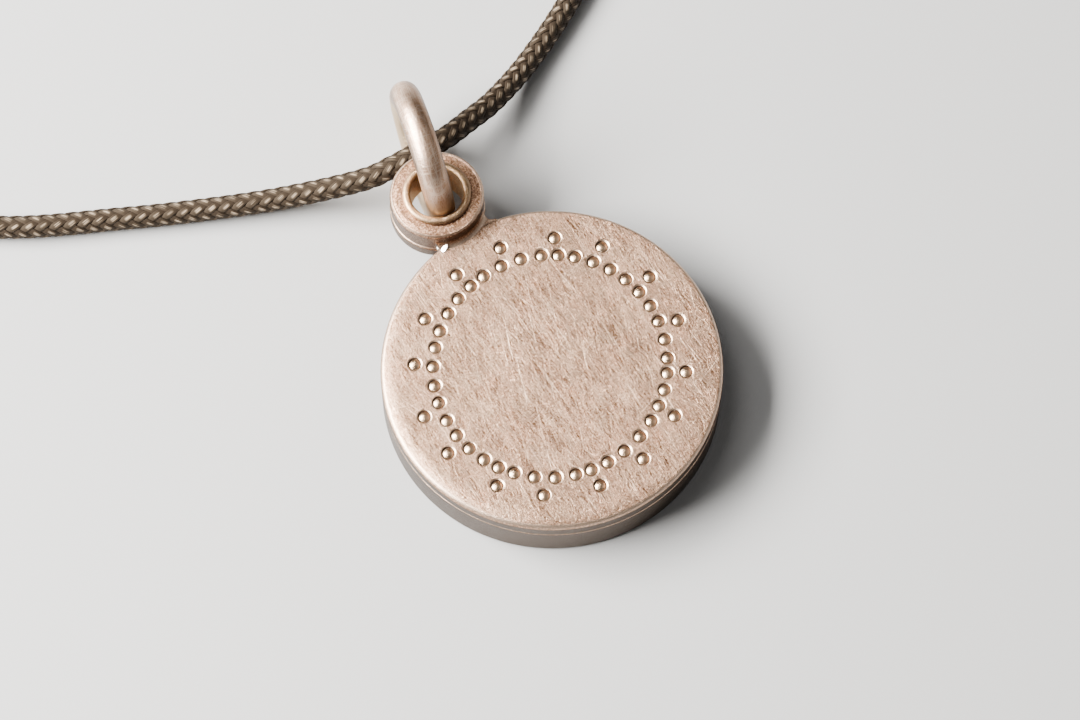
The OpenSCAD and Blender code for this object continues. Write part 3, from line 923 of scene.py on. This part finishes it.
def braid_tree():
    """Lays yarns round a line as a round braid does: each runs in a screw, over two and under two.

    Yarns of the other hand start half a yarn on, so that each floats where the other dips."""
    tree, given, result = new_tree("round_braid", {
        "Yarns each way": "NodeSocketInt", "First yarn": "NodeSocketInt", "Yarns here": "NodeSocketInt",
        "Hand": "NodeSocketFloat", "Lay length": "NodeSocketFloat", "Mean radius": "NodeSocketFloat",
        "Weave depth": "NodeSocketFloat", "Yarn width": "NodeSocketFloat",
        "Yarn thickness": "NodeSocketFloat", "Yarn curl": "NodeSocketFloat", "Step": "NodeSocketFloat",
        "Material": "NodeSocketMaterial"})
    g = given.outputs
    line = add(tree, "GeometryNodeMeshToCurve", {"Mesh": g["Geometry"]})
    even = add(tree, "GeometryNodeResampleCurve", {
        "Curve": line.outputs[0], "Length": g["Step"]}, mode="LENGTH")
    level = add(tree, "GeometryNodeSetCurveNormal", {"Curve": even.outputs[0]}, mode="Z_UP")
    copies = add(tree, "GeometryNodeDuplicateElements", {
        "Geometry": level.outputs[0], "Amount": g["Yarns here"]}, domain="SPLINE")
    number = add(tree, "ShaderNodeMath", {
        0: copies.outputs["Duplicate Index"], 1: g["First yarn"]}, operation="ADD").outputs[0]
    along = add(tree, "GeometryNodeSplineParameter").outputs["Length"]
    turns = add(tree, "ShaderNodeMath", {0: along, 1: g["Lay length"]}, operation="DIVIDE").outputs[0]
    turns = add(tree, "ShaderNodeMath", {0: turns, 1: g["Hand"]}, operation="MULTIPLY").outputs[0]
    half_on = add(tree, "ShaderNodeMath", {
        0: g["Hand"], 1: -0.25, 2: 0.25}, operation="MULTIPLY_ADD").outputs[0]
    start = add(tree, "ShaderNodeMath", {0: number, 1: half_on}, operation="ADD").outputs[0]
    start = add(tree, "ShaderNodeMath", {0: start, 1: g["Yarns each way"]}, operation="DIVIDE").outputs[0]
    turns = add(tree, "ShaderNodeMath", {0: turns, 1: start}, operation="ADD").outputs[0]
    angle = add(tree, "ShaderNodeMath", {0: turns, 1: FULL}, operation="MULTIPLY").outputs[0]
    cos = add(tree, "ShaderNodeMath", {0: angle}, operation="COSINE").outputs[0]
    sin = add(tree, "ShaderNodeMath", {0: angle}, operation="SINE").outputs[0]
    normal = add(tree, "GeometryNodeInputNormal").outputs["Normal"]
    tangent = add(tree, "GeometryNodeInputTangent").outputs[0]
    side = add(tree, "ShaderNodeVectorMath", {0: tangent, 1: normal}, operation="CROSS_PRODUCT").outputs[0]
    a = add(tree, "ShaderNodeVectorMath", {0: normal, 3: cos}, operation="SCALE").outputs[0]
    b = add(tree, "ShaderNodeVectorMath", {0: side, 3: sin}, operation="SCALE").outputs[0]
    outward = add(tree, "ShaderNodeVectorMath", {0: a, 1: b}, operation="ADD").outputs[0]
    wave = add(tree, "ShaderNodeMath", {0: g["Yarns each way"], 1: -0.5}, operation="MULTIPLY").outputs[0]
    wave = add(tree, "ShaderNodeMath", {0: angle, 1: wave}, operation="MULTIPLY").outputs[0]
    wave = add(tree, "ShaderNodeMath", {0: wave}, operation="SINE").outputs[0]
    wave = add(tree, "ShaderNodeMath", {0: wave, 1: g["Hand"]}, operation="MULTIPLY").outputs[0]
    reach = add(tree, "ShaderNodeMath", {
        0: wave, 1: g["Weave depth"], 2: g["Mean radius"]}, operation="MULTIPLY_ADD").outputs[0]
    offset = add(tree, "ShaderNodeVectorMath", {0: outward, 3: reach}, operation="SCALE").outputs[0]
    own = add(tree, "ShaderNodeMath", {0: number, 1: g["Hand"]}, operation="MULTIPLY").outputs[0]
    own = add(tree, "ShaderNodeMath", {0: own, 1: YARN_TO_YARN}, operation="MULTIPLY").outputs[0]
    drawn_out = add(tree, "ShaderNodeMath", {
        0: along, 1: FILAMENTS_ALONG / MM, 2: own}, operation="MULTIPLY_ADD").outputs[0]
    kept = copies
    for label, kind, value in (("outward", "FLOAT_VECTOR", outward), ("along", "FLOAT", drawn_out),
                               ("on_top", "FLOAT", wave)):
        kept = add(tree, "GeometryNodeStoreNamedAttribute", {
            "Geometry": kept.outputs[0], "Name": label, "Value": value}, data_type=kind)
    put = add(tree, "GeometryNodeSetPosition", {"Geometry": kept.outputs[0], "Offset": offset})
    way = add(tree, "GeometryNodeInputTangent").outputs[0]
    laid = add(tree, "GeometryNodeStoreNamedAttribute", {
        "Geometry": put.outputs[0], "Name": "lay", "Value": way}, data_type="FLOAT_VECTOR")
    held = add(tree, "GeometryNodeInputNamedAttribute", {
        "Name": "outward"}, data_type="FLOAT_VECTOR").outputs[0]
    faced = add(tree, "GeometryNodeSetCurveNormal", {"Curve": laid.outputs[0], "Normal": held}, mode="FREE")
    ring = add(tree, "GeometryNodeCurvePrimitiveCircle", {"Resolution": 8, "Radius": 0.5}, mode="RADIUS")
    place = add(tree, "GeometryNodeInputPosition").outputs[0]
    ring = add(tree, "GeometryNodeStoreNamedAttribute", {
        "Geometry": ring.outputs[0], "Name": "round", "Value": place}, data_type="FLOAT_VECTOR")
    size = add(tree, "ShaderNodeCombineXYZ", {0: g["Yarn thickness"], 1: g["Yarn width"], 2: 1.0}).outputs[0]
    flat = add(tree, "GeometryNodeTransform", {"Geometry": ring.outputs[0], "Scale": size})
    across = add(tree, "ShaderNodeSeparateXYZ", {0: place}).outputs[1]
    across = add(tree, "ShaderNodeMath", {0: across, 1: across}, operation="MULTIPLY").outputs[0]
    drop = add(tree, "ShaderNodeMath", {0: across, 1: g["Yarn curl"]}, operation="MULTIPLY").outputs[0]
    drop = add(tree, "ShaderNodeMath", {0: drop, 1: -1.0}, operation="MULTIPLY").outputs[0]
    drop = add(tree, "ShaderNodeCombineXYZ", {0: drop}).outputs[0]
    curled = add(tree, "GeometryNodeSetPosition", {"Geometry": flat.outputs[0], "Offset": drop})
    yarn = add(tree, "GeometryNodeCurveToMesh", {
        "Curve": faced.outputs[0], "Profile Curve": curled.outputs[0], "Fill Caps": True})
    length = add(tree, "GeometryNodeInputNamedAttribute", {"Name": "along"}, data_type="FLOAT").outputs[0]
    lift = add(tree, "ShaderNodeCombineXYZ", {2: length}).outputs[0]
    section = add(tree, "GeometryNodeInputNamedAttribute", {
        "Name": "round"}, data_type="FLOAT_VECTOR").outputs[0]
    both = add(tree, "ShaderNodeVectorMath", {
        0: section, 1: (FILAMENTS_ACROSS, FILAMENTS_ACROSS, 0.0), 2: lift},
        operation="MULTIPLY_ADD").outputs[0]
    marked = add(tree, "GeometryNodeStoreNamedAttribute", {
        "Geometry": yarn.outputs[0], "Name": "yarn", "Value": both}, data_type="FLOAT_VECTOR")
    smooth = add(tree, "GeometryNodeSetShadeSmooth", {"Geometry": marked.outputs[0]})
    return ended(tree, given, result, smooth.outputs[0])


def filling_tree():
    """A plain tube along a line."""
    tree, given, result = new_tree("cord_filling", {"Radius": "NodeSocketFloat", "Step": "NodeSocketFloat",
                                                    "Material": "NodeSocketMaterial"})
    g = given.outputs
    line = add(tree, "GeometryNodeMeshToCurve", {"Mesh": g["Geometry"]})
    even = add(tree, "GeometryNodeResampleCurve", {
        "Curve": line.outputs[0], "Length": g["Step"]}, mode="LENGTH")
    ring = add(tree, "GeometryNodeCurvePrimitiveCircle", {
        "Resolution": 12, "Radius": g["Radius"]}, mode="RADIUS")
    tube = add(tree, "GeometryNodeCurveToMesh", {
        "Curve": even.outputs[0], "Profile Curve": ring.outputs[0], "Fill Caps": True})
    return ended(tree, given, result, tube.outputs[0])


def build_cord(yarn, filling):
    """The braid in four pieces, four yarns each, round its dark filling."""
    tree = braid_tree()
    mean_r = CORD_R - WEAVE_DEPTH - YARN_THICKNESS / 2
    here = YARNS_EACH_WAY // 2
    pieces = []
    for hand, side in ((1.0, "left"), (-1.0, "right")):
        for first in (0, here):
            name = f"cord_{side}_laid_yarns_{first + 1}_to_{first + here}"
            pieces.append(grown(as_object(name, cord_line()), tree, {
                "Yarns each way": YARNS_EACH_WAY, "First yarn": first, "Yarns here": here, "Hand": hand,
                "Lay length": LAY_LENGTH * MM, "Mean radius": mean_r * MM, "Weave depth": WEAVE_DEPTH * MM,
                "Yarn width": YARN_WIDTH * MM, "Yarn thickness": YARN_THICKNESS * MM,
                "Yarn curl": YARN_CURL / mean_r / MM,
                "Step": LAY_LENGTH / YARNS_EACH_WAY / RINGS_A_PITCH * MM, "Material": yarn}))
    pieces.append(grown(as_object("cord_filling", cord_line()), filling_tree(), {
        "Radius": (mean_r - WEAVE_DEPTH) * MM, "Step": 1.0 * MM, "Material": filling}))
    for piece in pieces:
        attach(piece, "case")
        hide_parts("cord")


build_camera()
build_light()
build_floor()
SILVER = brushed_silver("hand_brushed_silver", ("#b68164", "#b08b6f", "#efcdb2", "#6b4c37"), roughness=0.35,
                        painted_side_shade_share=0.95, corner_oxide_and_shade_share=0.5, wear_and_highlight_share=0.6, pitting=0.65)
# The tube is smoother and cleaner than the rest, with little painted shade and tarnished brown on its sides
# and in its corners, and little painted highlight on its edges
TUBE = brushed_silver("turned_silver_tube", ("#b8926f", "#b39470", "#e4c8a8", "#7c5c40"), roughness=0.33,
                      painted_side_shade_share=0.2, corner_oxide_and_shade_share=0.15, wear_and_highlight_share=0.1, pitting=-0.7)
WIRE = drawn_silver_wire("drawn_silver_wire")
# Solder that ran out smooth and was never matted: a small white mirror
SOLDER = plain_material("flowed_silver_solder", "#f4ebe0", 0.24, 1.0)
# The cord's dark inside, which shows between the yarns as narrow shadows
FILLING = plain_material("dark_cord_filling", "#2c241e", 0.9)
build_lid(SILVER)
build_solder_drop(SOLDER)
build_case(SILVER)
build_eyelet(TUBE)
build_ring(WIRE)
build_clasp(SILVER)
build_cord(braided_yarn("braided_polyester_yarn"), FILLING)
